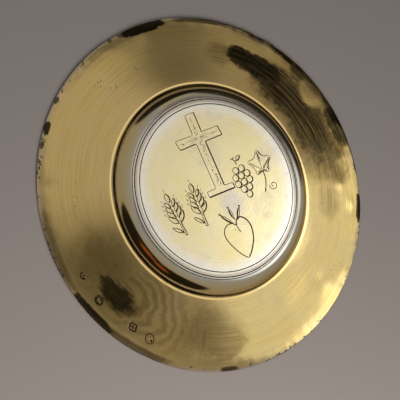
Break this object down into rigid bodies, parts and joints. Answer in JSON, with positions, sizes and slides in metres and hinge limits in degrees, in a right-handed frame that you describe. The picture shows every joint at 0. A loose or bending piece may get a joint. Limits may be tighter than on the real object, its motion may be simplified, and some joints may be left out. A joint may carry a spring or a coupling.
{
  "type": "paten plate",
  "caption": "Gilt silver paten: a shallow round dish with a wide sloping rim and a flat-bottomed well, shown with its engraved reverse up.",
  "frame": {"origin": "centre of the circle that the edge of the rim rests on, with the engraved reverse up", "axes": "+Z along the axis of the dish, out of the engraved reverse; +Y up the shaft of the engraved cross; +X to its right"},
  "size_m": [0.15, 0.15, 0.0082],
  "materials": {
    "gilt_silver": "polished"
  },
  "bodies": {
    "root": {"paten_dish": "gilt_silver"}
  },
  "joints": []
}
